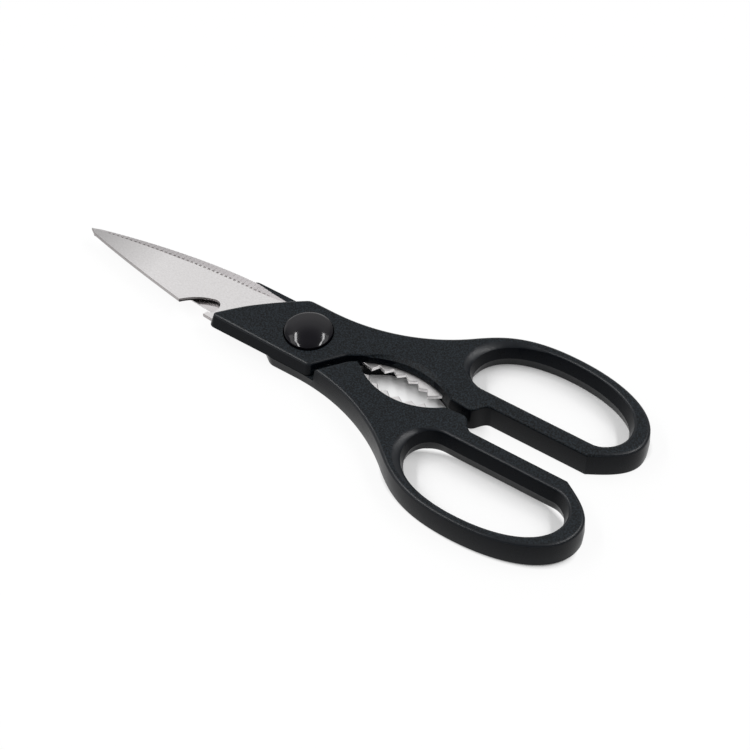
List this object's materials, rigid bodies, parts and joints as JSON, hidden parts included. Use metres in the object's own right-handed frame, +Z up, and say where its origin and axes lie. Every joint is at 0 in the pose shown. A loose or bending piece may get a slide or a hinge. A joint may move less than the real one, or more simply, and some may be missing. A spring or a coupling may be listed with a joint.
{
  "type": "kitchen scissors",
  "caption": "Multi-purpose kitchen scissors with moulded finger loops, a toothed nutcracker jaw, a bottle opener notch and a capped screw pivot.",
  "frame": {"origin": "on the table, under the middle of the whole length and on the line between the two finger loops", "axes": "+X towards the blade tips, +Y towards the lower half's finger loop, +Z up through the upper cover and the pivot cap"},
  "size_m": [0.207, 0.0792, 0.0134],
  "materials": {
    "blade_steel": "brushed stainless steel with a ground bevel",
    "pivot_steel": "turned steel",
    "handle_black": "moulded with a fine grain on the faces and smooth walls",
    "cap_gloss": "polished"
  },
  "bodies": {
    "lower_half": {"lower_blade": "blade_steel", "lower_handle": "handle_black", "pivot_screw": "pivot_steel", "pivot_nut": "pivot_steel", "nut_washer": "pivot_steel", "wave_washer": "pivot_steel", "pivot_cap": "cap_gloss"},
    "upper_half": {"upper_blade": "blade_steel", "upper_handle": "handle_black"}
  },
  "joints": [
    {"name": "blade_pivot", "type": "hinge", "parent": "lower_half", "child": "upper_half", "pos_m": [0.01185, 0, 0.0052], "axis": [0, 0, 1], "range_deg": [-1.8, 80]}
  ]
}
